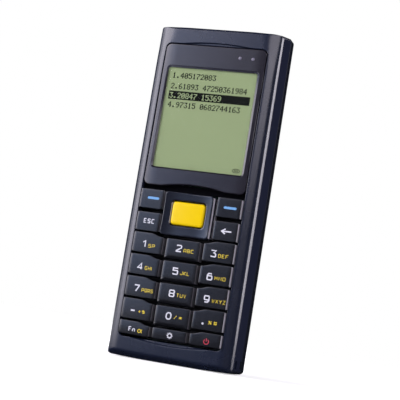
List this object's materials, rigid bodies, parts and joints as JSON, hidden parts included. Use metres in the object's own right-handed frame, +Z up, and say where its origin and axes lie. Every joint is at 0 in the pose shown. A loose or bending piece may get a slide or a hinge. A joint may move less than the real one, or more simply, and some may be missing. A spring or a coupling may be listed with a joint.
{
  "type": "portable barcode data terminal",
  "caption": "Slim handheld bar-code terminal: LCD over a phone-style keypad, yellow scan key in a four-way pad, laser scan engine behind a window in its top end, hinged battery door.",
  "frame": {"origin": "middle of the lower end, on the surface that the terminal stands on", "axes": "+Z up along the casing to the scanner end, -Y out of the display and keys, +X to the right"},
  "size_m": [0.054, 0.0286, 0.1446],
  "materials": {
    "amber_film": "polyimide film",
    "board_green": "solder mask",
    "brass_gold": "gold-plated contact",
    "casing_navy": "fine-textured satin ABS, dark navy",
    "cell_jacket": "plain printed sleeve over steel",
    "chip_black": "moulded epoxy",
    "clear_window": "clear acrylic",
    "copper_wire": "enamelled copper",
    "engine_zinc": "cast, bead-blasted",
    "key_black": "fine satin, blue-black, printed legend",
    "lcd_green": "reflective green liquid-crystal cell",
    "lens_clear": "clear acrylic",
    "lens_lilac": "frosted light pipe",
    "light_guide": "clear moulded light guide",
    "mat_rubber": "moulded silicone",
    "mirror_silver": "front-silvered",
    "pad_black": "semi-gloss black",
    "panel_grey": "smooth satin, slate grey",
    "rear_black": "fine-textured satin ABS, blue-black",
    "scan_red": "tinted acrylic",
    "scan_yellow": "gloss yellow",
    "seal_rubber": "extruded silicone cord",
    "steel": "bright steel",
    "white_plastic": "moulded, satin"
  },
  "bodies": {
    "casing": {"front_casing": "casing_navy", "rear_casing": "rear_black", "casing_seal": "seal_rubber", "casing_screws": "steel", "display_panel": "panel_grey", "display_window": "clear_window", "lcd_glass": "lcd_green", "lcd_frame": "white_plastic", "backlight_plate": "light_guide", "lcd_flex": "amber_film", "status_lenses": "lens_lilac", "status_leds": "white_plastic", "main_board": "board_green", "board_chips": "chip_black", "backup_cell": "steel", "beeper": "chip_black", "keypad_mat": "mat_rubber", "battery_door_pin": "steel", "battery_left": "cell_jacket", "battery_right": "cell_jacket", "battery_contacts": "brass_gold", "battery_connector": "white_plastic", "cradle_contacts": "brass_gold", "vibration_motor": "steel", "scan_window": "scan_red", "scan_chassis": "engine_zinc", "laser_module": "brass_gold", "mirror_pin": "steel", "mirror_coil": "copper_wire", "collector_lens": "lens_clear", "light_sensor": "chip_black"},
    "key_soft_left": {"key_soft_left": "key_black"},
    "key_soft_right": {"key_soft_right": "key_black"},
    "key_escape": {"key_escape": "key_black"},
    "key_back": {"key_back": "key_black"},
    "key_1": {"key_1": "key_black"},
    "key_2": {"key_2": "key_black"},
    "key_3": {"key_3": "key_black"},
    "key_4": {"key_4": "key_black"},
    "key_5": {"key_5": "key_black"},
    "key_6": {"key_6": "key_black"},
    "key_7": {"key_7": "key_black"},
    "key_8": {"key_8": "key_black"},
    "key_9": {"key_9": "key_black"},
    "key_minus": {"key_minus": "key_black"},
    "key_0": {"key_0": "key_black"},
    "key_point": {"key_point": "key_black"},
    "key_function": {"key_function": "key_black"},
    "key_backlight": {"key_backlight": "key_black"},
    "key_power": {"key_power": "key_black"},
    "key_scan": {"key_scan": "scan_yellow"},
    "nav_rocker": {"nav_rocker": "chip_black"},
    "nav_pad": {"nav_pad": "pad_black"},
    "battery_door": {"battery_door": "rear_black", "battery_door_latch": "rear_black"},
    "scan_mirror": {"scan_mirror": "mirror_silver"},
    "vibration_weight": {"vibration_weight": "steel"}
  },
  "joints": [
    {"name": "key_soft_left_press", "type": "slide", "parent": "casing", "child": "key_soft_left", "axis": [0, 1, 0], "range_m": [0, 0.0008], "stiffness_N_per_m": 800, "deforming": ["keypad_mat"]},
    {"name": "key_soft_right_press", "type": "slide", "parent": "casing", "child": "key_soft_right", "axis": [0, 1, 0], "range_m": [0, 0.0008], "stiffness_N_per_m": 800, "deforming": ["keypad_mat"]},
    {"name": "key_escape_press", "type": "slide", "parent": "casing", "child": "key_escape", "axis": [0, 1, 0], "range_m": [0, 0.0008], "stiffness_N_per_m": 800, "deforming": ["keypad_mat"]},
    {"name": "key_back_press", "type": "slide", "parent": "casing", "child": "key_back", "axis": [0, 1, 0], "range_m": [0, 0.0008], "stiffness_N_per_m": 800, "deforming": ["keypad_mat"]},
    {"name": "key_1_press", "type": "slide", "parent": "casing", "child": "key_1", "axis": [0, 1, 0], "range_m": [0, 0.0008], "stiffness_N_per_m": 800, "deforming": ["keypad_mat"]},
    {"name": "key_2_press", "type": "slide", "parent": "casing", "child": "key_2", "axis": [0, 1, 0], "range_m": [0, 0.0008], "stiffness_N_per_m": 800, "deforming": ["keypad_mat"]},
    {"name": "key_3_press", "type": "slide", "parent": "casing", "child": "key_3", "axis": [0, 1, 0], "range_m": [0, 0.0008], "stiffness_N_per_m": 800, "deforming": ["keypad_mat"]},
    {"name": "key_4_press", "type": "slide", "parent": "casing", "child": "key_4", "axis": [0, 1, 0], "range_m": [0, 0.0008], "stiffness_N_per_m": 800, "deforming": ["keypad_mat"]},
    {"name": "key_5_press", "type": "slide", "parent": "casing", "child": "key_5", "axis": [0, 1, 0], "range_m": [0, 0.0008], "stiffness_N_per_m": 800, "deforming": ["keypad_mat"]},
    {"name": "key_6_press", "type": "slide", "parent": "casing", "child": "key_6", "axis": [0, 1, 0], "range_m": [0, 0.0008], "stiffness_N_per_m": 800, "deforming": ["keypad_mat"]},
    {"name": "key_7_press", "type": "slide", "parent": "casing", "child": "key_7", "axis": [0, 1, 0], "range_m": [0, 0.0008], "stiffness_N_per_m": 800, "deforming": ["keypad_mat"]},
    {"name": "key_8_press", "type": "slide", "parent": "casing", "child": "key_8", "axis": [0, 1, 0], "range_m": [0, 0.0008], "stiffness_N_per_m": 800, "deforming": ["keypad_mat"]},
    {"name": "key_9_press", "type": "slide", "parent": "casing", "child": "key_9", "axis": [0, 1, 0], "range_m": [0, 0.0008], "stiffness_N_per_m": 800, "deforming": ["keypad_mat"]},
    {"name": "key_minus_press", "type": "slide", "parent": "casing", "child": "key_minus", "axis": [0, 1, 0], "range_m": [0, 0.0008], "stiffness_N_per_m": 800, "deforming": ["keypad_mat"]},
    {"name": "key_0_press", "type": "slide", "parent": "casing", "child": "key_0", "axis": [0, 1, 0], "range_m": [0, 0.0008], "stiffness_N_per_m": 800, "deforming": ["keypad_mat"]},
    {"name": "key_point_press", "type": "slide", "parent": "casing", "child": "key_point", "axis": [0, 1, 0], "range_m": [0, 0.0008], "stiffness_N_per_m": 800, "deforming": ["keypad_mat"]},
    {"name": "key_function_press", "type": "slide", "parent": "casing", "child": "key_function", "axis": [0, 1, 0], "range_m": [0, 0.0008], "stiffness_N_per_m": 800, "deforming": ["keypad_mat"]},
    {"name": "key_backlight_press", "type": "slide", "parent": "casing", "child": "key_backlight", "axis": [0, 1, 0], "range_m": [0, 0.0008], "stiffness_N_per_m": 800, "deforming": ["keypad_mat"]},
    {"name": "key_power_press", "type": "slide", "parent": "casing", "child": "key_power", "axis": [0, 1, 0], "range_m": [0, 0.0008], "stiffness_N_per_m": 800, "deforming": ["keypad_mat"]},
    {"name": "key_scan_press", "type": "slide", "parent": "casing", "child": "key_scan", "axis": [0, 1, 0], "range_m": [0, 0.001], "stiffness_N_per_m": 800, "deforming": ["keypad_mat"]},
    {"name": "nav_up_down", "type": "hinge", "parent": "casing", "child": "nav_rocker", "pos_m": [0, -0.0067, 0.0611], "axis": [1, 0, 0], "range_deg": [-2, 2], "stiffness_Nm_per_rad": 0.4, "deforming": ["keypad_mat"]},
    {"name": "nav_left_right", "type": "hinge", "parent": "nav_rocker", "child": "nav_pad", "pos_m": [0, -0.0087, 0.0611], "axis": [0, 0, 1], "range_deg": [-2, 2], "stiffness_Nm_per_rad": 0.4},
    {"name": "battery_door_hinge", "type": "hinge", "parent": "casing", "child": "battery_door", "pos_m": [0, 0.0126, 0.0081], "axis": [-1, 0, 0], "range_deg": [0, 90], "deforming": ["battery_door_latch"]},
    {"name": "scan_mirror_sweep", "type": "hinge", "parent": "casing", "child": "scan_mirror", "pos_m": [0.003, 0.0023, 0.1232], "axis": [0, 1, 0], "range_deg": [-12, 12], "stiffness_Nm_per_rad": 0.0005},
    {"name": "vibration_spin", "type": "hinge", "parent": "casing", "child": "vibration_weight", "pos_m": [0.017, -0.0002, 0.0872], "axis": [0, 0, 1], "continuous": true}
  ]
}
